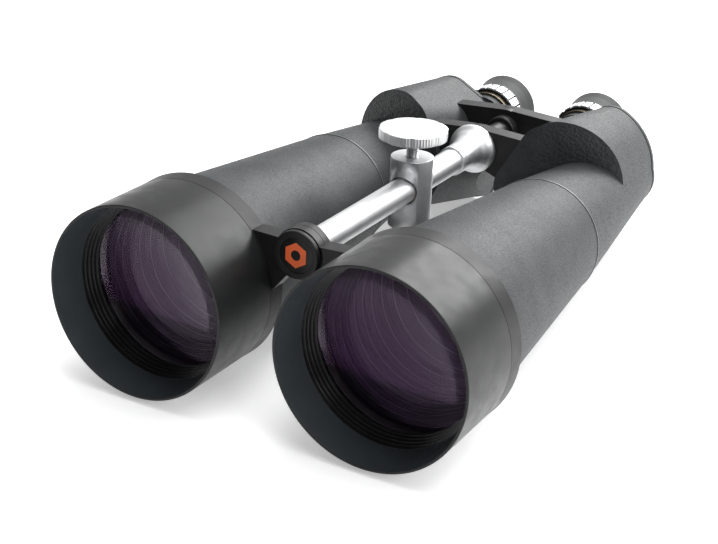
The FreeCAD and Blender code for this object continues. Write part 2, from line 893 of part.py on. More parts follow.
def prisms():
    start, middle, leave = light_path()
    shelf_front = size("prism_shelf_y")
    shelf_rear = size("prism_shelf_y + shelf_thickness")
    keep_both("rear_prism", prism("Rear_prism", start, middle, shelf_rear, 1))
    keep_both("front_prism", prism("Front_prism", middle, leave, shelf_front, -1))
    keep_both("rear_prism_clip", prism_clip("Rear_clip", start, middle, shelf_rear, 1))
    keep_both("front_prism_clip", prism_clip("Front_clip", middle, leave, shelf_front, -1))


def prism_shelf():
    """A plate that fills the housing across, with a round window for each leg of the light."""
    form = housing_form("Shelf", "housing_wall + shelf_fit", "face_wall")
    plate = common("Shelf_plate", [form, slab("Shelf_slice", "prism_shelf_y", "prism_shelf_y + shelf_thickness")])
    windows = []
    for spot in light_path():
        window = doc.addObject("Part::Cylinder", "Shelf_window")
        bind(window, Radius="light_radius")
        window.Height = 20
        window.Placement = Placement(Vector(spot.x, size("prism_shelf_y") - 8, spot.z), ALONG_Y)
        windows.append(window)
    keep_both("prism_shelf", cut("Shelf_body", plate, fuse("Shelf_windows", windows)))


# ---------------------------------------------------------------- tail

SCREW_ANGLES = (80, 10, -50, -125)     # degrees round the lobe's rear middle


def screw_places():
    ring = size("screw_circle")
    for degrees in SCREW_ANGLES:
        turn = math.radians(degrees)
        yield (size("lobe_rear_x") + ring * math.cos(turn), size("lobe_rear_height") + ring * math.sin(turn))


def tail_peg(name, place, radius, start, end):
    """A cylinder along Y at one screw's place."""
    peg = doc.addObject("Part::Cylinder", name)
    bind(peg, Radius=radius, Height=span(start, end))
    peg.Placement = Placement(Vector(place[0], size(start), place[1]), ALONG_Y)
    return peg


def rear_cover():
    """Closing plate with a proud rim and a round boss for the eyepiece."""
    form = housing_form("Cover", "-1 * cover_rim", "0")
    plate = common("Cover_plate", [form, slab("Cover_slice", "housing_end_y + cover_gap", "tail_y")])
    boss = rod("Cover_boss", "boss_radius", "boss_start_y", "boss_end_y", "eye_x", "eye_height")
    holes = [
        rod("Cover_window", "cover_hole_radius", "boss_start_y - 5", "boss_end_y + 5", "eye_x", "eye_height"),
        rod("Cover_seat", "boss_seat_radius", "boss_seat_y", "boss_end_y + 5", "eye_x", "eye_height"),
    ]
    for place in screw_places():
        holes.append(tail_peg("Cover_sink", place, "screw_head_radius + 0.2",
                              "tail_y - screw_head_height", "tail_y + 2"))
        holes.append(tail_peg("Cover_drill", place, "screw_shank_radius + 0.1", "boss_start_y - 5", "tail_y"))
    body = cut("Cover_body", fuse("Cover_solid", [plate, boss]), fuse("Cover_holes", holes))
    keep_both("rear_cover", body)


def cover_screws():
    """Four countersunk-height screws as one group of separate solids."""
    screws = []
    for place in screw_places():
        head = tail_peg("Screw_head", place, "screw_head_radius", "tail_y - screw_head_height", "tail_y - 0.2")
        shank = tail_peg("Screw_shank", place, "screw_shank_radius",
                         "tail_y - screw_head_height - screw_length", "tail_y - screw_head_height")
        screws.append(fuse("Screw", [head, shank]))
    group = doc.addObject("Part::Compound", "Screws")
    group.Links = screws
    keep_both("cover_screws", group)


# ---------------------------------------------------------------- eyepieces

def eyepiece_socket():
    body = turned("Socket", [
        ("slide_radius + slide_clearance", "boss_end_y + 0.1"),
        ("socket_flange_radius", "boss_end_y + 0.1"),
        ("socket_flange_radius", "socket_end_y"),
        ("slide_radius + slide_clearance", "socket_end_y"),
    ])
    keep_both("eyepiece_socket", body, on_eyepiece())


def eyepiece_barrel():
    body = turned("Eyepiece", [
        ("eyepiece_bore - 1.4", "eyepiece_start_y"),
        ("slide_radius", "eyepiece_start_y"),
        ("slide_radius", "eyepiece_end_y - 1"),
        ("slide_radius - 1", "eyepiece_end_y"),
        ("eye_lip_radius", "eyepiece_end_y"),
        ("eye_lip_radius", "eye_lens_end_y"),
        ("eyepiece_bore", "eye_lens_end_y"),
        ("eyepiece_bore", "field_lens_y"),
        ("eyepiece_bore - 1.4", "field_lens_y"),
    ])
    keep_both("eyepiece_barrel", body, on_eyepiece())


def eyepiece_lens(name, start, end):
    disc = rod(name + "_disc", "eye_lens_radius", start, end)
    front = ball(name + "_front", "eye_curve", start + " + eye_curve")
    rear = ball(name + "_rear", "eye_curve", end + " - eye_curve")
    return common(name, [disc, front, rear])


def eyepiece_lenses():
    keep_both("field_lens", eyepiece_lens("Field", "field_lens_y", "field_lens_end_y"), on_eyepiece())
    keep_both("eye_lens", eyepiece_lens("Eye", "eye_lens_y", "eye_lens_end_y"), on_eyepiece())


def ring_of_cuts(body, name, count, pocket, sketch):
    """Repeat a pocket round the axis that its sketch faces along."""
    pattern = body.newObject("PartDesign::PolarPattern", name)
    pattern.Originals = [pocket]
    pattern.Axis = (sketch, ["N_Axis"])
    pattern.Angle = 360
    pattern.setExpression("Occurrences", bound(count))
    body.Tip = pattern
    return pattern


def focus_ring():
    """A hollow ring that overlaps the socket; even slots leave bright pads round its rim."""
    body = turned("Focus", [
        ("focus_bore", "focus_start_y"),
        ("focus_radius - focus_edge", "focus_start_y"),
        ("focus_radius", "focus_start_y + focus_edge"),
        ("focus_radius", "focus_end_y - focus_edge"),
        ("focus_radius - focus_edge", "focus_end_y"),
        ("slide_radius + slide_clearance", "focus_end_y"),
        ("slide_radius + slide_clearance", "focus_web_y"),
        ("focus_bore", "focus_web_y"),
    ])

    def slot(sketch):
        draw_outline(sketch, [
            ("0", "focus_radius - slot_depth"),
            ("slot_width", "focus_radius - slot_depth"),
            ("slot_width", "focus_radius + 2"),
            ("0", "focus_radius + 2"),
        ])

    pocket = along_y(body, "Focus_slot", "focus_start_y - 1", "focus_end_y + 1", slot, "Pocket")
    ring_of_cuts(body, "Focus_slots", "slot_count", pocket, pocket.Profile[0])
    keep_both("focus_ring", body, on_eyepiece())


def eyecup():
    body = turned("Eyecup", [
        ("slide_radius + 1", "focus_end_y + 0.1"),
        ("cup_neck_radius", "focus_end_y + 0.1"),
        ("cup_waist_radius", "cup_waist_y"),
        ("cup_rim_radius", "cup_end_y"),
        ("cup_rim_radius - cup_wall", "cup_end_y"),
        ("cup_waist_radius - cup_wall", "cup_floor_y"),
        ("slide_radius + 1", "cup_floor_y"),
    ])
    keep_both("eyecup", body, on_eyepiece())


# ---------------------------------------------------------------- hinge line

def tripod_bar():
    keep("tripod_bar", turned("Bar", [
        ("hub_screw_radius", "bar_spigot_y"),
        ("bar_spigot_radius", "bar_spigot_y"),
        ("bar_spigot_radius", "bar_start_y"),
        ("bar_radius", "bar_start_y"),
        ("bar_radius", "bar_end_y"),
        ("axle_radius", "bar_end_y"),
        ("axle_radius", "axle_start_y"),
        ("0", "axle_start_y"),
        ("0", "hub_screw_end_y"),
        ("hub_screw_radius", "hub_screw_end_y"),
    ]), on_hinge())


def bar_sleeve():
    """A sleeve on the bar's tail that flares out into the flange against the front lugs."""
    keep("bar_sleeve", turned("Sleeve", [
        ("bar_radius", "sleeve_start_y"),
        ("sleeve_radius", "sleeve_start_y"),
        ("sleeve_radius", "sleeve_straight_y"),
        ("sleeve_flare_radius", "sleeve_flare_y"),
        ("flange_radius", "flange_y"),
        ("flange_radius", "flange_end_y"),
        ("axle_radius", "flange_end_y"),
        ("axle_radius", "bar_end_y"),
        ("bar_radius", "bar_end_y"),
    ]), on_hinge())


def hinge_axle():
    keep("hinge_axle", turned("Axle", [
        ("0", "axle_start_y"),
        ("axle_radius", "axle_start_y"),
        ("axle_radius", "axle_end_y"),
        ("0", "axle_end_y"),
    ]), on_hinge())


def hinge_tube():
    keep("hinge_tube", turned("Tube", [
        ("axle_radius", "tube_start_y"),
        ("tube_radius", "tube_start_y"),
        ("tube_radius", "tube_end_y"),
        ("axle_radius", "tube_end_y"),
    ]), on_hinge())


def hinge_collar():
    keep("hinge_collar", turned("Collar", [
        ("axle_radius", "tube_end_y + 0.1"),
        ("collar_radius - 0.8", "tube_end_y + 0.1"),
        ("collar_radius", "tube_end_y + 0.9"),
        ("collar_radius", "collar_end_y"),
        ("axle_radius", "collar_end_y"),
    ]), on_hinge())


def hinge_nut():
    hexagon = doc.addObject("Part::Prism", "Nut_hexagon")
    hexagon.Polygon = 6
    bind(hexagon, Circumradius="nut_across_flats * 0.57735", Height="nut_end_y - nut_start_y")
    hexagon.Placement = Placement(Vector(0, size("nut_start_y"), 0), ALONG_Y)
    hole = rod("Nut_hole", "axle_radius", "nut_start_y - 1", "nut_end_y + 1")
    keep("hinge_nut", cut("Nut", hexagon, hole), on_hinge())


def hinge_end_cap():
    keep("hinge_end_cap", turned("End_cap", [
        ("end_cap_radius - end_cap_wall", "nut_start_y"),
        ("end_cap_radius", "nut_start_y"),
        ("end_cap_radius", "end_cap_y - 1"),
        ("end_cap_radius - 1", "end_cap_y"),
        ("0", "end_cap_y"),
        ("0", "end_cap_y - end_cap_wall"),
        ("end_cap_radius - end_cap_wall", "end_cap_y - end_cap_wall"),
    ]), on_hinge())


def hub_cap():
    keep("hub_cap", turned("Hub", [
        ("hub_screw_radius + 0.1", "hub_screw_head_y"),
        ("hub_screw_head + 0.1", "hub_screw_head_y"),
        ("hub_screw_head + 0.1", "hub_start_y + badge_depth + badge_thickness"),
        ("badge_radius + 0.1", "hub_start_y + badge_depth + badge_thickness"),
        ("badge_radius + 0.1", "hub_start_y"),
        ("hub_radius - 0.8", "hub_start_y"),
        ("hub_radius", "hub_start_y + 0.8"),
        ("hub_radius", "hub_end_y"),
        ("hub_screw_radius + 0.1", "hub_end_y"),
    ]), on_hinge())


def hub_badge():
    keep("hub_badge", turned("Badge", [
        ("0", "hub_start_y + badge_depth"),
        ("badge_radius", "hub_start_y + badge_depth"),
        ("badge_radius", "hub_start_y + badge_depth + badge_thickness"),
        ("0", "hub_start_y + badge_depth + badge_thickness"),
    ]), on_hinge())


def hub_screw():
    head = "hub_start_y + badge_depth + badge_thickness + 0.1"
    keep("hub_screw", turned("Hub_screw", [
        ("0", head),
        ("hub_screw_head", head),
        ("hub_screw_head", "hub_screw_head_y"),
        ("hub_screw_radius", "hub_screw_head_y"),
        ("hub_screw_radius", "hub_screw_end_y"),
        ("0", "hub_screw_end_y"),
    ]), on_hinge())


# ---------------------------------------------------------------- clamp post

def on_post():
    """The post's own frame: origin at its foot and Y straight up the post."""
    foot = Vector(0, size("post_y"), size("hinge_height") - size("post_below"))
    return Placement(foot, Rotation(Vector(1, 0, 0), 90))


def tripod_post():
    """A turned post with a cross bore for the bush, a clamp hole on top and the insert's hole."""
    body = turned("Post", [
        ("0", "0"),
        ("post_radius - post_foot_edge", "0"),
        ("post_radius", "post_foot_edge"),
        ("post_radius", "post_below + post_above - post_top_edge"),
        ("post_radius - post_top_edge", "post_below + post_above"),
        ("0", "post_below + post_above"),
    ])
    sketch = new_sketch(body, "XY_Plane", "Post_bore_outline")
    draw_circle(sketch, "0", "post_below", "bush_radius + bush_fit")
    bore = body.newObject("PartDesign::Pocket", "Post_bore")
    bore.Profile = sketch
    bore.Type = "ThroughAll"
    bore.Midplane = True
    revolve(body, "Post_clamp_hole", [
        ("0", "post_below"),
        ("stud_radius + stud_clearance", "post_below"),
        ("stud_radius + stud_clearance", "post_below + post_above + 1"),
        ("0", "post_below + post_above + 1"),
    ], kind="Groove")
    revolve(body, "Post_insert_hole", [
        ("0", "0"),
        ("insert_radius", "0"),
        ("insert_radius", "insert_depth"),
        ("0", "insert_depth"),
    ], kind="Groove")
    keep("tripod_post", body, on_post())


def thread_insert():
    keep("thread_insert", turned("Insert", [
        ("thread_radius", "0"),
        ("insert_radius", "0"),
        ("insert_radius", "insert_depth"),
        ("thread_radius", "insert_depth"),
    ]), on_post())


def post_bush():
    """A thin liner that slides on the bar and that the post swivels on."""
    keep("post_bush", turned("Bush", [
        ("bar_radius + bush_fit", "post_y - bush_half"),
        ("bush_radius", "post_y - bush_half"),
        ("bush_radius", "post_y + bush_half"),
        ("bar_radius + bush_fit", "post_y + bush_half"),
    ]), on_hinge())


def clamp_pad():
    keep("clamp_pad", turned("Pad", [
        ("0", "post_below + bush_radius + pad_lift"),
        ("pad_radius", "post_below + bush_radius + pad_lift"),
        ("pad_radius", "post_below + bush_radius + pad_lift + pad_height"),
        ("0", "post_below + bush_radius + pad_lift + pad_height"),
    ]), on_post())


def clamp_stud():
    foot = "post_below + bush_radius + pad_lift + pad_height + 0.1"
    keep("clamp_stud", turned("Stud", [
        ("0", foot),
        ("stud_radius", foot),
        ("stud_radius", "post_below + knob_underside + 3.5"),
        ("0", "post_below + knob_underside + 3.5"),
    ]), on_post())


def clamp_knob():
    """A flat round knob with fine flutes round its rim."""
    body = turned("Knob", [
        ("0", "post_below + knob_underside + 3.5"),
        ("stud_radius", "post_below + knob_underside + 3.5"),
        ("stud_radius", "post_below + knob_underside"),
        ("knob_radius - knob_edge", "post_below + knob_underside"),
        ("knob_radius", "post_below + knob_underside + knob_edge"),
        ("knob_radius", "post_below + knob_top - knob_edge"),
        ("knob_radius - knob_edge", "post_below + knob_top"),
        ("0", "post_below + knob_top"),
    ])

    def flute(sketch):
        draw_circle(sketch, "0", "knob_radius + flute_radius - flute_sink", "flute_radius")

    pocket = along_y(body, "Knob_flute", "post_below + knob_underside - 1", "post_below + knob_top + 1",
                     flute, "Pocket")
    ring_of_cuts(body, "Knob_flutes", "flute_count", pocket, pocket.Profile[0])
    keep("clamp_knob", body, on_post())


# ---------------------------------------------------------------- build, check and export

BUILDERS = (
    objective_bell, lens_retainer, lens_cell, crown_lens, flint_lens, objective_rings,
    barrel_tube, baffle_tube, prism_housings, prisms, prism_shelf, rear_cover, cover_screws,
    eyepiece_socket, eyepiece_barrel, eyepiece_lenses, focus_ring, eyecup,
    tripod_bar, bar_sleeve, hinge_axle, hinge_tube, hinge_collar, hinge_nut, hinge_end_cap,
    hub_cap, hub_badge, hub_screw,
    tripod_post, thread_insert, post_bush, clamp_pad, clamp_stud, clamp_knob,
)


def check_document():
    for item in doc.Objects:
        if "Invalid" in item.State or "Error" in item.State:
            raise RuntimeError("%s failed to compute" % item.Name)
    for label, piece in PIECES.items():
        shape = piece.Shape
        if shape.isNull() or not shape.isValid() or not shape.Solids:
            raise RuntimeError("%s is not a valid solid" % label)


def export_pieces():
    os.makedirs("parts", exist_ok=True)
    for label, piece in PIECES.items():
        piece.Shape.exportStep("parts/%s.step" % label)


def main():
    for build in BUILDERS:
        build()
        doc.recompute()
    check_document()
    export_pieces()
    for label, piece in PIECES.items():
        shape = piece.Shape
        print("%-28s %8.1f mm3  %d solid(s)" % (label, shape.Volume, len(shape.Solids)))
    print("pieces:", len(PIECES), " rest tilt: %.3f degrees" % REST_TILT)
    print("rest shift:", REST.Base)


main()
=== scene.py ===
"""Looks of the giant astronomy binoculars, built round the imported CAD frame.

Lengths here are millimetres in the binoculars' own frame: X across, Y from the objectives to the eyepieces
along the barrels, Z up square to them, origin midway between the barrel axes at the front rims.
DESIGN carries them into the row frame, where the binoculars lie tilted on the floor.
"""
import json
import math

import bmesh
import bpy
from mathutils import Matrix, Vector


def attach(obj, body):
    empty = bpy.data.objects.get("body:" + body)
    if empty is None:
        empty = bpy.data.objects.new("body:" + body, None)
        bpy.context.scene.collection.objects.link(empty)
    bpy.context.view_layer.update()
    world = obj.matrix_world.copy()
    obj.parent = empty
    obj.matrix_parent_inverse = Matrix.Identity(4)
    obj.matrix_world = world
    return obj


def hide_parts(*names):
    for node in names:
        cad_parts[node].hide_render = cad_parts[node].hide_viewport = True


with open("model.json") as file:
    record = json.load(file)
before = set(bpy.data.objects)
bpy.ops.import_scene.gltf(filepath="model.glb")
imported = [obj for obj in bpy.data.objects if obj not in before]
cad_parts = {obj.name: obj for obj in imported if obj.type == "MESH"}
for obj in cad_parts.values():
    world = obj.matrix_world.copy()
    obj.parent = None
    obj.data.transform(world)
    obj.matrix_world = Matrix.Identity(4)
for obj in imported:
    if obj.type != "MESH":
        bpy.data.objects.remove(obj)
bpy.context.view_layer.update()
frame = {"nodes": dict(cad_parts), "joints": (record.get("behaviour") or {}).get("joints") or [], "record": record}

RECORD = frame["record"]
JOINTS = {joint["name"]: joint for joint in frame["joints"]}
MOUNTS = {mount["name"]: mount for mount in RECORD["mounts"]}
MM = 0.001
SIDES = {"left": 1, "right": -1}

# ---------------------------------------------------------------- the binoculars' own frame

BELL_MIDDLE = 26.05                 # the bell mount's place along the barrel
KNOB_UNDERSIDE = 31.64              # above the hinge axis

ACROSS = Vector((1, 0, 0))
ALONG = Vector(JOINTS["fold"]["axis"])
UPWARD = Vector(JOINTS["clamp_travel"]["axis"])
BELL = Vector(MOUNTS["left_bell_outside"]["pos_m"])
BARREL_X = BELL.x / MM
TURN = Matrix((ACROSS, ALONG, UPWARD)).transposed()
ORIGIN = BELL - ALONG * BELL_MIDDLE * MM - ACROSS * BELL.x
DESIGN = Matrix.Translation(ORIGIN) @ TURN.to_4x4() @ Matrix.Scale(MM, 4)
TO_DESIGN = DESIGN.inverted()

HINGE = TO_DESIGN @ Vector(JOINTS["fold"]["pos_m"])
EYE = TO_DESIGN @ Vector(JOINTS["left_focus_turn"]["pos_m"])
POST = TO_DESIGN @ Vector(JOINTS["post_swivel"]["pos_m"])


def barrel_axis(side):
    return DESIGN @ Matrix.Translation((SIDES[side] * BARREL_X, 0, 0))


def eye_axis(side):
    return DESIGN @ Matrix.Translation((SIDES[side] * EYE.x, 0, EYE.z))


def hinge_axis():
    return DESIGN @ Matrix.Translation((0, 0, HINGE.z))


def post_axis():
    """Origin on the hinge axis and local Y up the post."""
    return DESIGN @ Matrix.Translation(POST) @ Matrix.Rotation(math.radians(90), 4, "X")


# ---------------------------------------------------------------- material helpers

def shader(name, **inputs):
    """A Principled material; keyword names are socket names with underscores for spaces."""
    material = bpy.data.materials.new(name)
    material.use_nodes = True
    principled = material.node_tree.nodes["Principled BSDF"]
    for socket, value in inputs.items():
        if isinstance(value, tuple):
            value = value + (1.0,)
        principled.inputs[socket.replace("_", " ")].default_value = value
    return material


def add_node(material, kind, **inputs):
    node = material.node_tree.nodes.new(kind)
    for socket, value in inputs.items():
        node.inputs[socket.replace("_", " ")].default_value = value
    return node


def link(material, source, output, target, socket):
    material.node_tree.links.new(source.outputs[output], target.inputs[socket])


def principled_of(material):
    return material.node_tree.nodes["Principled BSDF"]


def place_of(material):
    """Each piece's own coordinates, in metres."""
    return add_node(material, "ShaderNodeTexCoord")


def noise(material, size, detail=3.0):
    """A noise with features about `size` millimetres across."""
    node = add_node(material, "ShaderNodeTexNoise", Scale=1 / (size * MM), Detail=detail)
    link(material, place_of(material), "Object", node, "Vector")
    return node


def spread(material, source, output, low, high, start=0.35, stop=0.65):
    """Map a texture value onto low..high."""
    node = add_node(material, "ShaderNodeMapRange")
    node.inputs["From Min"].default_value = start
    node.inputs["From Max"].default_value = stop
    node.inputs["To Min"].default_value = low
    node.inputs["To Max"].default_value = high
    link(material, source, output, node, "Value")
    return node


def bump(material, source, output, depth, after=None):
    """Relief of `depth` millimetres, on top of an earlier bump where one is given."""
    node = add_node(material, "ShaderNodeBump", Distance=depth * MM)
    link(material, source, output, node, "Height")
    if after:
        link(material, after, "Normal", node, "Normal")
    link(material, node, "Normal", principled_of(material), "Normal")
    return node


def tint(material, source, output, dark, light):
    """Vary the base colour between two near colours."""
    mix = add_node(material, "ShaderNodeMix")
    mix.data_type = "RGBA"
    colours = [socket for socket in mix.inputs if socket.type == "RGBA"]
    colours[0].default_value = dark + (1.0,)
    colours[1].default_value = light + (1.0,)
    factor = spread(material, source, output, 0.0, 1.0)
    link(material, factor, "Result", mix, "Factor")
    result = [socket for socket in mix.outputs if socket.type == "RGBA"][0]
    material.node_tree.links.new(result, principled_of(material).inputs["Base Color"])


# ---------------------------------------------------------------- materials

def satin_paint(name, dark, light, roughness, shine=0.5):
    """Smooth sprayed paint: faint orange peel, slightly uneven gloss."""
    material = shader(name, Base_Color=dark, Roughness=roughness, Specular_IOR_Level=shine)
    cloud = noise(material, 28.0)
    tint(material, cloud, "Fac", dark, light)
    gloss = spread(material, noise(material, 9.0), "Fac", roughness - 0.03, roughness + 0.05)
    link(material, gloss, "Result", principled_of(material), "Roughness")
    bump(material, noise(material, 0.9, 2.0), "Fac", 0.012)
    return material


GRAIN_WOBBLE = 0.35                 # share of a cell
FINE_GRAIN = 0.35                   # share of a cell, and of the coarse relief's depth


def pebbles(material, cell, depth, roughness):
    """Leather-like grain: rounded cells with creases between them, broken up by finer noise."""
    cells = add_node(material, "ShaderNodeTexVoronoi", Scale=1 / (cell * MM), Randomness=1.0)
    cells.feature = "SMOOTH_F1"
    cells.inputs["Smoothness"].default_value = 0.35
    wobble = add_node(material, "ShaderNodeVectorMath")
    wobble.operation = "MULTIPLY_ADD"
    wobble.inputs[1].default_value = (GRAIN_WOBBLE * cell * MM,) * 3
    link(material, noise(material, cell * 1.6), "Color", wobble, 0)
    link(material, place_of(material), "Object", wobble, 2)
    link(material, wobble, "Vector", cells, "Vector")
    rough = spread(material, cells, "Distance", roughness - 0.08, roughness + 0.12, 0.1, 0.7)
    link(material, rough, "Result", principled_of(material), "Roughness")
    coarse = bump(material, cells, "Distance", -depth)
    bump(material, noise(material, cell * FINE_GRAIN, 4.0), "Fac", depth * FINE_GRAIN, coarse)


def leather(name, dark, light, cell, depth, roughness):
    material = shader(name, Base_Color=dark, Roughness=roughness, Specular_IOR_Level=0.35)
    pebbles(material, cell, depth, roughness)
    tint(material, noise(material, 16.0, 4.0), "Fac", dark, light)
    return material


def satin_aluminium(name, colour, roughness):
    """Bead-blasted, clear-anodised aluminium with a fine turned texture."""
    material = shader(name, Base_Color=colour, Metallic=1.0, Roughness=roughness)
    deep = tuple(channel * 0.93 for channel in colour)
    tint(material, noise(material, 6.0), "Fac", deep, colour)
    fine = noise(material, 0.35)
    gloss = spread(material, fine, "Fac", roughness - 0.05, roughness + 0.07)
    link(material, gloss, "Result", principled_of(material), "Roughness")
    bump(material, fine, "Fac", 0.012)
    return material


def coated_glass(name, body, reflection, ior):
    """Clear glass; its coating leaves only a faint reflection in its own colour."""
    material = shader(name, Base_Color=body, Roughness=0.0, IOR=ior, Transmission_Weight=1.0)
    principled_of(material).inputs["Specular Tint"].default_value = reflection + (1.0,)
    return material


def rubber_skin(name, colour):
    material = shader(name, Base_Color=colour, Roughness=0.62, Sheen_Weight=0.12, Sheen_Roughness=0.5)
    bump(material, noise(material, 0.5, 3.0), "Fac", 0.02)
    tint(material, noise(material, 8.0), "Fac", colour, tuple(channel * 1.35 for channel in colour))
    return material


LEATHER_DARK = (0.020, 0.022, 0.024)
LEATHER_LIGHT = (0.030, 0.033, 0.035)

MATERIALS = {
    "bell": satin_paint("bell_paint", (0.010, 0.0105, 0.011), (0.014, 0.0145, 0.015), 0.34, 0.24),
    "lip": satin_paint("lip_paint", (0.030, 0.037, 0.042), (0.037, 0.044, 0.050), 0.42),
    "lip_highlight": satin_paint("lip_highlight_paint", (0.085, 0.09, 0.093), (0.11, 0.115, 0.12), 0.32),
    # The barrel's lip at its joint to the housing: light grey here is a painted highlight for the bright line the
    # light draws along it.
    "casting": satin_paint("casting_paint", (0.010, 0.010, 0.0105), (0.014, 0.014, 0.0145), 0.40, 0.28),
    "gloss_black": satin_paint("gloss_black", (0.008, 0.008, 0.009), (0.012, 0.012, 0.013), 0.22),
    "barrel": leather("barrel_leather", LEATHER_DARK, LEATHER_LIGHT, 0.95, 0.10, 0.50),
    "housing": leather("housing_leather", LEATHER_DARK, LEATHER_LIGHT, 1.15, 0.14, 0.50),
    "housing_face": leather("face_leather", LEATHER_DARK, LEATHER_LIGHT, 2.0, 0.42, 0.48),
    "baffle": shader("baffle_black", Base_Color=(0.012, 0.012, 0.013), Roughness=0.55),
    # Light grey on the baffle's rib crests is a painted highlight for the light they catch.
    "rib": shader("rib_crest_highlight_paint", Base_Color=(0.17, 0.165, 0.17), Roughness=0.35),
    "aluminium": satin_aluminium("bar_aluminium", (0.84, 0.85, 0.86), 0.42),
    "bright": satin_aluminium("knob_aluminium", (0.95, 0.95, 0.955), 0.40),
    "steel": satin_aluminium("turned_steel", (0.60, 0.60, 0.61), 0.28),
    "brass": satin_aluminium("neck_brass", (0.15, 0.13, 0.095), 0.38),
    "glass": coated_glass("lens_glass", (0.98, 0.97, 0.98), (0.12, 0.05, 0.15), 1.5),
    "eye_glass": coated_glass("eye_glass", (0.97, 0.98, 0.97), (0.14, 0.25, 0.16), 1.5),
    "prism_glass": coated_glass("prism_glass", (0.97, 0.98, 0.97), (1.0, 1.0, 1.0), 1.52),
    "rubber": rubber_skin("cup_rubber", (0.017, 0.018, 0.019)),
    "orange": satin_paint("badge_orange", (0.80, 0.12, 0.030), (0.86, 0.15, 0.040), 0.35),
    "pad": satin_aluminium("focus_pad_silver", (0.80, 0.80, 0.81), 0.34),
}

# ---------------------------------------------------------------- mesh helpers

ARC_STEPS = 4
FINE_TURN = 256                     # steps round the largest turned pieces
SHARP = math.radians(38)


def rounded(corners):
    """Points of a closed outline whose corners (radius, along, rounding) are softened."""
    points = []
    count = len(corners)
    for i, (radius, along, fillet) in enumerate(corners):
        here = Vector((radius, along))
        if fillet <= 0:
            points.append(here)
            continue
        back = Vector(corners[i - 1][:2]) - here
        ahead = Vector(corners[(i + 1) % count][:2]) - here
        reach = min(fillet / math.tan(back.angle(ahead) / 2), 0.45 * back.length, 0.45 * ahead.length)
        start = here + back.normalized() * reach
        stop = here + ahead.normalized() * reach
        for step in range(ARC_STEPS + 1):
            part = step / ARC_STEPS
            points.append(start * (1 - part) ** 2 + here * 2 * part * (1 - part) + stop * part ** 2)
    return points


def new_piece(name, mesh, materials, soft_normals=True):
    """Link a finished bmesh as an object, smooth but for its sharp edges."""
    bmesh.ops.remove_doubles(mesh, verts=mesh.verts, dist=1e-7)
    bmesh.ops.recalc_face_normals(mesh, faces=mesh.faces)
    data = bpy.data.meshes.new(name)
    mesh.to_mesh(data)
    mesh.free()
    data.shade_smooth()
    data.set_sharp_from_angle(angle=SHARP)
    for material in materials:
        data.materials.append(material)
    piece = bpy.data.objects.new(name, data)
    bpy.context.scene.collection.objects.link(piece)
    if soft_normals:
        piece.modifiers.new("even_normals", "WEIGHTED_NORMAL").keep_sharp = True
    return piece


def turned_vertex(mesh, axis, radius, along, angle):
    return mesh.verts.new(axis @ Vector((radius * math.cos(angle), along, radius * math.sin(angle))))


def spin(outline, axis, steps=160, radius_at=None, paint=None):
    """A bmesh turned about the axis frame's Y. Outline is a closed list of (radius, along).

    radius_at(radius, along, angle) may reshape the rim; paint(radius, along) picks a face's material.
    """
    mesh = bmesh.new()
    rings = []
    for step in range(steps):
        angle = 2 * math.pi * step / steps
        ring = []
        for radius, along in outline:
            reach = radius_at(radius, along, angle) if radius_at else radius
            ring.append(turned_vertex(mesh, axis, reach, along, angle))
        rings.append(ring)
    count = len(outline)
    for step in range(steps):
        near = rings[step]
        far = rings[(step + 1) % steps]
        for i in range(count):
            after = (i + 1) % count
            if outline[i][0] < 1e-6 and outline[after][0] < 1e-6:
                continue
            corners = [near[i], near[after], far[after], far[i]]
            if outline[i][0] < 1e-6:
                corners.remove(far[i])
            elif outline[after][0] < 1e-6:
                corners.remove(far[after])
            face = mesh.faces.new(corners)
            if paint:
                middle = (Vector(outline[i]) + Vector(outline[after])) / 2
                face.material_index = paint(middle.x, middle.y)
    return mesh


def lathe(name, corners, axis, materials, steps=160, radius_at=None, paint=None):
    if not isinstance(materials, (list, tuple)):
        materials = [materials]
    return new_piece(name, spin(rounded(corners), axis, steps, radius_at, paint), materials)


def stand_for(piece, node, body):
    """A finished piece takes a CAD node's place and moves with its body."""
    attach(piece, body)
    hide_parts(node)
    return piece


def keep_node(node, material):
    """A CAD node that stays in view with a better material."""
    for slot in frame["nodes"][node].material_slots:
        slot.material = material


# ---------------------------------------------------------------- objectives

RIM_RADIUS = 58.0
RIM_INSIDE = 56.4
LIP_END = 22.3
LIP_END_RADIUS = 53.54
BELL_END = 51.5
BELL_BORE = 55.6
RETAINER_RADIUS = 55.5
RETAINER_START = 22.4
RETAINER_END = 34.5
RETAINER_STEPS = 4
STEP_DEPTH = 2.6
STEP_WIDTH = 0.8
CLEAR_RADIUS = 50.0
CROWN_FRONT = 29.4
CROWN_REAR = 44.8
LENS_RADIUS = 52.0
LENS_CURVE = 240.0
FLINT_FRONT = 45.2
FLINT_REAR = 51.1
FLINT_CURVE = 900.0


def bell(side):
    """The front hood: satin black outside, blue-grey inside its flared lip."""
    corners = [
        (RIM_RADIUS, 0.0, 0.5),
        (RIM_INSIDE, 0.0, 0.45),
        (LIP_END_RADIUS, LIP_END, 0.12),
        (BELL_BORE, LIP_END, 0),
        (BELL_BORE, BELL_END, 0),
        (RIM_RADIUS, BELL_END, 0.35),
    ]

    def paint(radius, along):
        inside = radius < (RIM_RADIUS + RIM_INSIDE) / 2 and 0.3 < along < LIP_END + 0.1
        return 1 if inside else 0

    piece = lathe(side + "_bell", corners, barrel_axis(side),
                  [MATERIALS["bell"], MATERIALS["lip"]], FINE_TURN, None, paint)
    stand_for(piece, side + "_objective_bell", side + "_half")


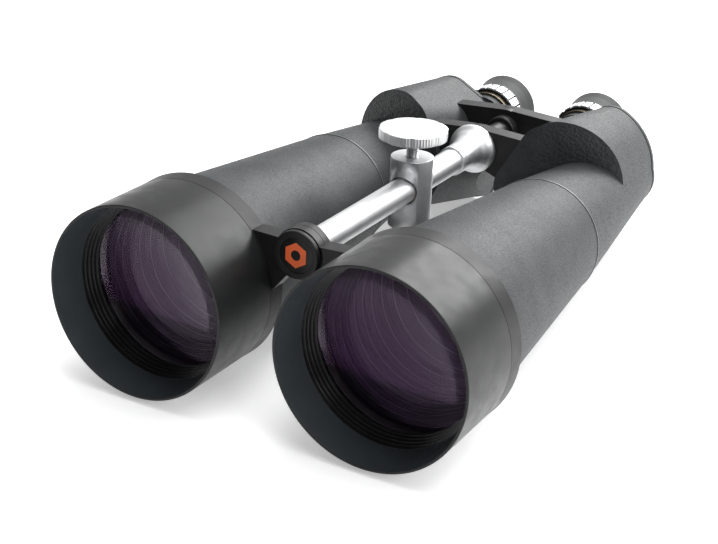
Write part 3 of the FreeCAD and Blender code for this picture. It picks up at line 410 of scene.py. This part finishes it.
def retainer(side):
    """Four glossy steps down to the glass, each with a rounded nose."""
    corners = [(RETAINER_RADIUS, RETAINER_END, 0), (RETAINER_RADIUS, RETAINER_START, 0)]
    for step in range(RETAINER_STEPS):
        radius = LIP_END_RADIUS - 0.2 - STEP_WIDTH * step
        corners.append((radius, RETAINER_START + STEP_DEPTH * step, 0.22))
        corners.append((radius, RETAINER_START + STEP_DEPTH * (step + 1), 0.12))
    corners.append((CLEAR_RADIUS, RETAINER_START + STEP_DEPTH * RETAINER_STEPS, 0.25))
    corners.append((CLEAR_RADIUS, RETAINER_END, 0.1))
    piece = lathe(side + "_retainer", corners, barrel_axis(side), MATERIALS["gloss_black"], FINE_TURN)
    stand_for(piece, side + "_lens_retainer", side + "_half")


LENS_RINGS = 24


def cap_points(vertex, curve, radius, steps, outward):
    """Points of a spherical face, from the axis out or from the rim in; curve < 0 is hollow."""
    points = []
    for step in range(steps + 1):
        reach = radius * step / steps
        sag = abs(curve) - math.sqrt(curve * curve - reach * reach)
        points.append((reach, vertex + (sag if curve > 0 else -sag)))
    return points if outward else points[::-1]


def lens(name, node, front, front_curve, rear, rear_curve, radius, axis, body, glass):
    outline = cap_points(front, front_curve, radius, LENS_RINGS, True)
    outline += cap_points(rear, rear_curve, radius, LENS_RINGS, False)
    piece = new_piece(name, spin(outline, axis, 192), [glass], False)
    stand_for(piece, node, body)


def objective(side):
    axis = barrel_axis(side)
    half = side + "_half"
    lens(side + "_crown", side + "_crown_lens", CROWN_FRONT, LENS_CURVE, CROWN_REAR, -LENS_CURVE,
         LENS_RADIUS, axis, half, MATERIALS["glass"])
    lens(side + "_flint", side + "_flint_lens", FLINT_FRONT, -LENS_CURVE, FLINT_REAR, -FLINT_CURVE,
         LENS_RADIUS, axis, half, MATERIALS["glass"])


RIBS = 20
RIB_PITCH = 7.4
RIB_STEP = 0.72
BAFFLE_START = 56.0
BAFFLE_RADIUS = 49.2
BAFFLE_WALL = 1.0
RIB_HEIGHT = 2.2
RIB_CREST = 0.35
RIB_FOOT = 1.3


def baffle(side):
    """Twenty light-stop ribs; the thin crest of each is painted light grey as a painted highlight."""
    outside = []
    inside = []
    for rib in range(RIBS):
        outer = BAFFLE_RADIUS - RIB_STEP * rib
        start = BAFFLE_START + RIB_PITCH * rib
        outside += [(outer, start, 0), (outer, start + RIB_PITCH, 0)]
        inner = outer - BAFFLE_WALL
        inside += [
            (inner - RIB_HEIGHT, start, 0),
            (inner - RIB_HEIGHT, start + RIB_CREST, 0),
            (inner, start + RIB_FOOT, 0),
            (inner, start + RIB_PITCH, 0),
        ]

    def paint(radius, along):
        within = (along - BAFFLE_START) % RIB_PITCH
        rib = int((along - BAFFLE_START) / RIB_PITCH)
        crest = radius < BAFFLE_RADIUS - RIB_STEP * rib - BAFFLE_WALL - RIB_HEIGHT + 0.1
        # Crest faces take the light grey painted highlight.
        return 1 if crest and within < RIB_CREST else 0

    piece = lathe(side + "_baffle", outside + inside[::-1], barrel_axis(side),
                  [MATERIALS["baffle"], MATERIALS["rib"]], 192, None, paint)
    stand_for(piece, side + "_baffle_tube", side + "_half")


SEAM = 222.13
SEAM_LIP_START = 221.2


def barrel(side):
    """The long tapered tube in its fine leather grain, with a plain lip at the joint to the housing, painted light
    grey as a painted highlight.
    """
    corners = [
        (53.2, 61.2, 0),
        (53.2, 64.0, 0),
        (53.44, 64.0, 0.15),
        (38.96, SEAM_LIP_START, 0),
        (39.35, SEAM_LIP_START + 0.05, 0.15),
        (39.35, SEAM, 0.25),
        (35.3, SEAM, 0),
        (35.3, 229.5, 0),
        (33.7, 229.5, 0),
        (34.5, 218.1, 0),
        (51.0, 61.2, 0),
    ]

    def paint(radius, along):
        # The lip's faces take the light grey painted highlight.
        return 1 if radius > 39.1 and along > SEAM_LIP_START - 0.1 else 0

    piece = lathe(side + "_barrel", corners, barrel_axis(side),
                  [MATERIALS["barrel"], MATERIALS["lip_highlight"]], FINE_TURN, None, paint)
    stand_for(piece, side + "_barrel_tube", side + "_half")


# ---------------------------------------------------------------- eyepieces

FOCUS_START = 378.6
FOCUS_END = 391.6
FOCUS_RADIUS = 21.5
FOCUS_PADS = 20
PAD_SHARE = 0.80                    # of the rim, the rest is the gaps between pads


def socket(side):
    """Neck ring between the rear cover and the focus ring, with two fine grooves."""
    corners = [(14.25, 374.5, 0), (18.9, 374.5, 0.4)]
    for groove in (376.2, 377.5):
        corners += [(18.9, groove, 0.1), (18.5, groove + 0.15, 0)]
        corners += [(18.5, groove + 0.4, 0), (18.9, groove + 0.55, 0.1)]
    corners += [(18.9, 384.4, 0.3), (14.25, 384.4, 0)]
    piece = lathe(side + "_neck", corners, eye_axis(side), MATERIALS["brass"], 128)
    stand_for(piece, side + "_eyepiece_socket", side + "_half")


def focus_ring(side):
    """A black ring with bright pads let into its rim."""
    corners = [
        (19.4, FOCUS_START, 0.2),
        (20.5, FOCUS_START, 0.3),
        (20.7, FOCUS_START + 1.0, 0.2),
        (20.7, FOCUS_END - 1.0, 0.2),
        (20.5, FOCUS_END, 0.3),
        (14.25, FOCUS_END, 0),
        (14.25, 387.6, 0),
        (19.4, 387.6, 0),
    ]
    axis = eye_axis(side)
    piece = lathe(side + "_focus", corners, axis, MATERIALS["casting"], 160)
    stand_for(piece, side + "_focus_ring", side + "_focus")
    mesh = bmesh.new()
    half = math.radians(360 / FOCUS_PADS) / 2 * PAD_SHARE
    for pad in range(FOCUS_PADS):
        middle = 2 * math.pi * pad / FOCUS_PADS
        add_pad(mesh, axis, middle, half)
    pads = new_piece(side + "_focus_pads", mesh, [MATERIALS["pad"]])
    soften = pads.modifiers.new("edges", "BEVEL")
    soften.width = 0.25 * MM
    soften.segments = 2
    pads.modifiers.move(1, 0)
    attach(pads, side + "_focus")


PAD_STEPS = 4
PAD_FOOT = 20.4
PAD_INSET = 0.7                     # from the ring's faces


def add_pad(mesh, axis, middle, half):
    """One curved bright pad on the focus ring's rim."""
    rows = []
    for radius, inset in ((PAD_FOOT, PAD_INSET), (FOCUS_RADIUS, PAD_INSET + 0.2)):
        for along in (FOCUS_START + inset, FOCUS_END - inset):
            row = []
            for step in range(PAD_STEPS + 1):
                angle = middle + half * (2 * step / PAD_STEPS - 1)
                row.append(turned_vertex(mesh, axis, radius, along, angle))
            rows.append(row)
    low_start, low_end, top_start, top_end = rows
    sides = ((low_start, low_end), (top_start, top_end), (low_start, top_start), (low_end, top_end))
    for first, second in sides:
        for step in range(PAD_STEPS):
            mesh.faces.new([first[step], first[step + 1], second[step + 1], second[step]])
    for step in (0, PAD_STEPS):
        mesh.faces.new([low_start[step], low_end[step], top_end[step], top_start[step]])


def eyecup(side):
    """A soft flared cup with a rolled rim and two moulded rings at its waist."""
    corners = [
        (15.2, 391.7, 0),
        (21.2, 391.7, 0.5),
        (20.6, 394.2, 0.8),
        (20.9, 396.0, 2.0),
        (22.2, 403.0, 6.0),
        (23.9, 409.3, 0.75),
        (22.4, 409.3, 0.7),
        (20.7, 403.0, 6.0),
        (19.2, 394.6, 0.8),
        (15.2, 394.6, 0),
    ]
    piece = lathe(side + "_cup", corners, eye_axis(side), MATERIALS["rubber"], 160)
    stand_for(piece, side + "_eyecup", side + "_focus")


EYE_GLASS_FRONT = 391.0
EYE_GLASS_REAR = 397.5
EYE_GLASS_CURVE = 30.0
EYE_GLASS_RADIUS = 11.8


def eyepiece(side):
    axis = eye_axis(side)
    body = side + "_eyepiece"
    corners = [
        (10.8, 375.2, 0),
        (14.2, 375.2, 0),
        (14.2, 400.0, 0.9),
        (10.6, 400.0, 0.3),
        (10.6, 397.5, 0),
        (12.2, 397.5, 0),
        (12.2, 377.0, 0),
        (10.8, 377.0, 0),
    ]
    piece = lathe(side + "_eyepiece_tube", corners, axis, MATERIALS["gloss_black"], 128)
    stand_for(piece, side + "_eyepiece_barrel", body)
    lens(side + "_eye_glass", side + "_eye_lens", EYE_GLASS_FRONT, EYE_GLASS_CURVE, EYE_GLASS_REAR,
         -EYE_GLASS_CURVE, EYE_GLASS_RADIUS, axis, body, MATERIALS["eye_glass"])


# ---------------------------------------------------------------- hinge line

def tripod_bar():
    corners = [
        (2.5, 53.2, 0),
        (6.0, 53.2, 0),
        (6.0, 64.8, 0),
        (8.33, 64.8, 0.3),
        (8.33, 262.0, 0),
        (5.0, 262.0, 0),
        (5.0, 240.0, 0),
        (0.0, 240.0, 0),
        (0.0, 66.0, 0),
        (2.5, 66.0, 0),
    ]
    piece = lathe("bar", corners, hinge_axis(), MATERIALS["aluminium"], 128)
    stand_for(piece, "tripod_bar", "left_half")


def bar_sleeve():
    """Sleeve with a groove near its front edge, flaring into the flange in one curve."""
    corners = [
        (8.33, 243.3, 0),
        (9.59, 243.3, 0.3),
        (9.59, 246.4, 0.1),
        (9.3, 246.6, 0),
        (9.3, 247.0, 0),
        (9.59, 247.2, 0.1),
        (9.59, 259.0, 4.0),
        (11.4, 266.5, 6.0),
        (13.9, 271.0, 5.0),
        (16.1, 273.4, 0.6),
        (16.47, 274.4, 0.3),
        (16.47, 276.0, 0.3),
        (5.0, 276.0, 0),
        (5.0, 262.0, 0),
        (8.33, 262.0, 0),
    ]
    piece = lathe("sleeve", corners, hinge_axis(), MATERIALS["aluminium"], 160)
    stand_for(piece, "bar_sleeve", "left_half")


def rear_hinge():
    axis = hinge_axis()
    tube = lathe("axle_tube", [(5.0, 288.2, 0), (7.5, 288.2, 0.3), (7.5, 318.6, 0.3), (5.0, 318.6, 0)],
                 axis, MATERIALS["casting"], 96)
    stand_for(tube, "hinge_tube", "left_half")
    collar = lathe("axle_collar", [
        (5.0, 318.7, 0),
        (9.8, 318.7, 0.4),
        (10.6, 319.6, 0.3),
        (10.6, 321.8, 0.2),
        (10.1, 322.1, 0.1),
        (10.6, 322.4, 0.2),
        (10.6, 325.8, 0.4),
        (5.0, 325.8, 0),
    ], axis, MATERIALS["casting"], 96)
    stand_for(collar, "hinge_collar", "left_half")
    cap = lathe("axle_cap", [
        (9.6, 338.2, 0),
        (11.0, 338.2, 0.3),
        (11.0, 347.4, 1.2),
        (0.0, 347.4, 0),
        (0.0, 346.0, 0),
        (9.6, 346.0, 0),
    ], axis, MATERIALS["casting"], 96)
    stand_for(cap, "hinge_end_cap", "left_half")


HUB_FACE = 49.6
BADGE_FACE = 50.2
BADGE_BACK = 50.8
BADGE_RADIUS = 10.5


def hub():
    """Cap over the hinge bolt: rounded rim, shallow recess, and a plain hexagon badge."""
    axis = hinge_axis()
    cap = lathe("hub", [
        (2.6, 52.0, 0),
        (4.6, 52.0, 0),
        (4.6, BADGE_BACK, 0),
        (10.6, BADGE_BACK, 0),
        (10.6, HUB_FACE, 0.3),
        (14.5, HUB_FACE, 1.3),
        (14.5, 52.9, 0.4),
        (2.6, 52.9, 0),
    ], axis, MATERIALS["casting"], 128)
    stand_for(cap, "hub_cap", "left_half")
    disc = lathe("badge_disc", [
        (0.0, BADGE_FACE, 0),
        (BADGE_RADIUS, BADGE_FACE, 0.2),
        (BADGE_RADIUS, BADGE_BACK, 0),
        (0.0, BADGE_BACK, 0),
    ], axis, MATERIALS["gloss_black"], 128)
    stand_for(disc, "hub_badge", "left_half")
    mark = new_piece("badge_mark", badge_mark(axis), [MATERIALS["orange"]], False)
    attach(mark, "left_half")


HEX_RADIUS = 7.6
HEX_HOLE = 3.1
MARK_RAISE = 0.22


def badge_mark(axis):
    """A flat hexagon with a round hole, raised a little from the disc."""
    mesh = bmesh.new()
    steps = 48
    rings = []
    for along in (BADGE_FACE - MARK_RAISE, BADGE_FACE):
        for shape in ("hexagon", "circle"):
            ring = []
            for step in range(steps):
                angle = 2 * math.pi * step / steps
                within = (angle + math.pi / 6) % (math.pi / 3) - math.pi / 6
                flat = HEX_RADIUS * math.cos(math.pi / 6) / math.cos(within)
                reach = flat if shape == "hexagon" else HEX_HOLE
                ring.append(turned_vertex(mesh, axis, reach, along, angle))
            rings.append(ring)
    front_out, front_in, back_out, back_in = rings
    sides = ((front_out, front_in), (front_out, back_out), (front_in, back_in), (back_out, back_in))
    for first, second in sides:
        for step in range(steps):
            after = (step + 1) % steps
            mesh.faces.new([first[step], first[after], second[after], second[step]])
    return mesh


# ---------------------------------------------------------------- clamp post

def post():
    """Turned post; the bar's bore is cut through it."""
    corners = [
        (4.1, 5.0, 0),
        (4.1, 19.84, 0.35),
        (13.31, 19.84, 0.6),
        (13.31, -25.0, 0.5),
        (9.31, -29.0, 0.4),
        (5.5, -29.0, 0),
        (5.5, -15.0, 0),
        (0.0, -15.0, 0),
        (0.0, 5.0, 0),
    ]
    piece = lathe("post", corners, post_axis(), MATERIALS["aluminium"], 192)
    bore = lathe("bore_cutter", [(0.0, -20.0, 0), (9.35, -20.0, 0), (9.35, 20.0, 0), (0.0, 20.0, 0)],
                 DESIGN @ Matrix.Translation(POST), MATERIALS["aluminium"], 96)
    cutter = piece.modifiers.new("bore", "BOOLEAN")
    cutter.object = bore
    cutter.solver = "EXACT"
    piece.modifiers.move(1, 0)
    depsgraph = bpy.context.evaluated_depsgraph_get()
    data = bpy.data.meshes.new_from_object(piece.evaluated_get(depsgraph))
    piece.modifiers.clear()
    piece.data = data
    bpy.data.objects.remove(bore)
    stand_for(piece, "tripod_post", "tripod_post")


FLUTES = 72
FLUTE_DEPTH = 0.28
SCALLOPS = 8
SCALLOP_DEPTH = 0.75
KNOB_RADIUS = 21.5
KNOB_FACE = 19.0                    # inside this radius the knob is plainly round
KNOB_TOP = 37.86


def knob_radius(radius, along, angle):
    """Fine flutes round the rim, broken by broad shallow scallops."""
    if radius < KNOB_FACE:
        return radius
    flute = FLUTE_DEPTH * (0.5 - 0.5 * math.cos(FLUTES * angle))
    around = (angle * SCALLOPS / (2 * math.pi)) % 1.0
    scallop = SCALLOP_DEPTH * math.exp(-((around - 0.5) / 0.13) ** 2)
    return radius - (flute + scallop) * (radius - KNOB_FACE) / (KNOB_RADIUS - KNOB_FACE)


def knob():
    corners = [
        (0.0, 35.14, 0),
        (4.0, 35.14, 0),
        (4.0, KNOB_UNDERSIDE, 0.2),
        (19.2, KNOB_UNDERSIDE, 0),
        (KNOB_RADIUS, KNOB_UNDERSIDE, 0.6),
        (KNOB_RADIUS, KNOB_TOP, 0.6),
        (19.2, KNOB_TOP, 0),
        (0.0, KNOB_TOP, 0),
    ]
    piece = lathe("knob", corners, post_axis(), MATERIALS["bright"], 576, knob_radius)
    stand_for(piece, "clamp_knob", "clamp_knob")


THREAD_PITCH = 1.25
THREAD_DEPTH = 0.62
STUD_RADIUS = 4.0
STUD_FOOT = 12.3
STUD_TOP = 35.14


def stud():
    """The clamp screw, with a real helical thread."""
    mesh = bmesh.new()
    around = 48
    rows = int((STUD_TOP - STUD_FOOT) / THREAD_PITCH * 8)
    axis = post_axis()
    grid = []
    for row in range(rows + 1):
        along = STUD_FOOT + (STUD_TOP - STUD_FOOT) * row / rows
        ring = []
        for step in range(around):
            turn = step / around
            wave = abs(((along / THREAD_PITCH + turn) % 1.0) * 2 - 1)
            reach = STUD_RADIUS - THREAD_DEPTH * min(1.0, max(0.0, wave * 1.5 - 0.25))
            angle = 2 * math.pi * turn
            ring.append(turned_vertex(mesh, axis, reach, along, angle))
        grid.append(ring)
    for row in range(rows):
        for step in range(around):
            after = (step + 1) % around
            mesh.faces.new([grid[row][step], grid[row][after], grid[row + 1][after], grid[row + 1][step]])
    mesh.faces.new(grid[0][::-1])
    mesh.faces.new(grid[-1])
    piece = new_piece("stud", mesh, [MATERIALS["steel"]], False)
    stand_for(piece, "clamp_stud", "clamp_knob")


# ---------------------------------------------------------------- CAD nodes that stay

KEPT = {
    "lens_cell": "gloss_black",
    "objective_ring": "casting",
    "prism_housing": "housing",
    "rear_prism": "prism_glass",
    "front_prism": "prism_glass",
    "rear_prism_clip": "steel",
    "front_prism_clip": "steel",
    "prism_shelf": "baffle",
    "rear_cover": "housing",
    "cover_screws": "steel",
    "field_lens": "eye_glass",
}
KEPT_CENTRE = {
    "hinge_axle": "steel",
    "hinge_nut": "steel",
    "hub_screw": "steel",
    "thread_insert": "steel",
    "post_bush": "brass",
    "clamp_pad": "brass",
}

FACE_SLOPE = math.radians(20.3)
LUGS = ((276.3, 287.9), (326.1, 337.9))
KNUCKLE_REACH = 12.0                # from the middle plane; the lobes stay farther out
STRAIGHT = 0.999


def housing_finish(side):
    """Coarser grain on the flat front face, which leans back outwards; plain black on the lugs."""
    leaning = Vector((SIDES[side] * math.sin(FACE_SLOPE), -math.cos(FACE_SLOPE), 0))
    node = frame["nodes"][side + "_prism_housing"]
    mesh = node.data
    leather_index = 0
    face_index = len(mesh.materials)
    mesh.materials.append(MATERIALS["housing_face"])
    mesh.materials.append(MATERIALS["casting"])
    to_design = TO_DESIGN @ node.matrix_world
    straighten = TURN.transposed() @ node.matrix_world.to_3x3()
    for polygon in mesh.polygons:
        normal = (straighten @ polygon.normal).normalized()
        place = to_design @ polygon.center
        at_lug = any(start < place.y < end for start, end in LUGS)
        plate_side = abs(normal.y) > STRAIGHT
        plate_top = abs(normal.y) < 0.01 and normal.z > 0.99
        if normal.dot(leaning) > STRAIGHT:
            polygon.material_index = face_index
        elif at_lug and (plate_side or plate_top or abs(place.x) < KNUCKLE_REACH):
            polygon.material_index = face_index + 1
        else:
            polygon.material_index = leather_index


def build():
    for side in SIDES:
        for part in (bell, retainer, objective, baffle, barrel, socket, focus_ring, eyecup, eyepiece):
            part(side)
        for node, material in KEPT.items():
            keep_node(side + "_" + node, MATERIALS[material])
        housing_finish(side)
    for part in (tripod_bar, bar_sleeve, rear_hinge, hub, post, knob, stud):
        part()
    for node, material in KEPT_CENTRE.items():
        keep_node(node, MATERIALS[material])


# ---------------------------------------------------------------- stage, light and camera

def floor():
    mesh = bmesh.new()
    reach = 12.0
    corners = [(-reach, -reach), (reach, -reach), (reach, reach), (-reach, reach)]
    mesh.faces.new([mesh.verts.new((x, y, 0.0)) for x, y in corners])
    paper = shader("floor_paper", Base_Color=(0.90, 0.90, 0.905), Roughness=0.9,
                   Emission_Color=(1.0, 1.0, 1.0), Emission_Strength=0.4)
    bump(paper, noise(paper, 2.0), "Fac", 0.01)
    new_piece("floor", mesh, [paper], False)


BACKDROP = Vector((0.15, 0.75, 0.64))      # towards the bright paper sweep, behind and above
BACKDROP_LIGHT = 1.0
DARK_SIDE_LIGHT = 0.10


def studio():
    """White in view; in reflections a sweep that is bright behind and above, dark in front."""
    world = bpy.data.worlds.new("studio")
    world.use_nodes = True
    nodes = world.node_tree.nodes
    links = world.node_tree.links
    background = nodes["Background"]
    background.inputs["Color"].default_value = (1.0, 1.0, 1.0, 1.0)
    facing = nodes.new("ShaderNodeVectorMath")
    facing.operation = "DOT_PRODUCT"
    facing.inputs[1].default_value = BACKDROP
    links.new(nodes.new("ShaderNodeTexCoord").outputs["Generated"], facing.inputs[0])
    sweep = nodes.new("ShaderNodeMapRange")
    sweep.interpolation_type = "SMOOTHSTEP"
    sweep.inputs["From Min"].default_value = -0.25
    sweep.inputs["From Max"].default_value = 0.95
    sweep.inputs["To Min"].default_value = DARK_SIDE_LIGHT
    sweep.inputs["To Max"].default_value = BACKDROP_LIGHT
    links.new(facing.outputs["Value"], sweep.inputs["Value"])
    strength = nodes.new("ShaderNodeMix")
    strength.inputs["B"].default_value = 1.0
    links.new(nodes.new("ShaderNodeLightPath").outputs["Is Camera Ray"], strength.inputs["Factor"])
    links.new(sweep.outputs["Result"], strength.inputs["A"])
    links.new(strength.outputs["Result"], background.inputs["Strength"])
    bpy.context.scene.world = world


def soft_box(name, place, target, width, height, power):
    data = bpy.data.lights.new(name, "AREA")
    data.shape = "RECTANGLE"
    data.size = width
    data.size_y = height
    data.energy = power
    lamp = bpy.data.objects.new(name, data)
    lamp.location = place
    lamp.rotation_euler = (Vector(target) - Vector(place)).to_track_quat("-Z", "Y").to_euler()
    bpy.context.scene.collection.objects.link(lamp)


def lights():
    studio()
    middle = (0.0, 0.0, 0.06)
    soft_box("overhead", (0.25, 0.15, 1.30), middle, 1.2, 0.9, 14.0)
    soft_box("behind", (0.30, 1.55, 0.85), middle, 1.5, 0.7, 30.0)
    soft_box("right_front", (1.40, -0.70, 1.00), middle, 0.6, 0.6, 9.0)


CAMERA_AZIMUTH = math.radians(28.56)
CAMERA_ELEVATION = math.radians(23.12)
CAMERA_ROLL = math.radians(2.29)
CAMERA_TARGET = Vector((-12.9, 147.73, -17.6))
CAMERA_DISTANCE = 987.74
FOCAL_LENGTH = 80.21
SENSOR_WIDTH = 36.0


def camera():
    """A view from above the objectives, off to the left half's side, in the binoculars' own frame."""
    flat = math.cos(CAMERA_ELEVATION)
    back = Vector((
        math.sin(CAMERA_AZIMUTH) * flat,
        -math.cos(CAMERA_AZIMUTH) * flat,
        math.sin(CAMERA_ELEVATION),
    ))
    right = Vector((0, 0, 1)).cross(back).normalized()
    upright = back.cross(right)
    level = math.cos(CAMERA_ROLL)
    lean = math.sin(CAMERA_ROLL)
    across = right * level + upright * lean
    height = upright * level - right * lean
    turned = TURN @ Matrix((across, height, back)).transposed()
    data = bpy.data.cameras.new("camera")
    data.sensor_width = SENSOR_WIDTH
    data.lens = FOCAL_LENGTH
    eye = bpy.data.objects.new("camera", data)
    place = DESIGN @ (CAMERA_TARGET + back * CAMERA_DISTANCE)
    eye.matrix_world = Matrix.Translation(place) @ turned.to_4x4()
    bpy.context.scene.collection.objects.link(eye)
    bpy.context.scene.camera = eye


build()
floor()
lights()
camera()
bpy.context.scene.view_settings.view_transform = "Standard"
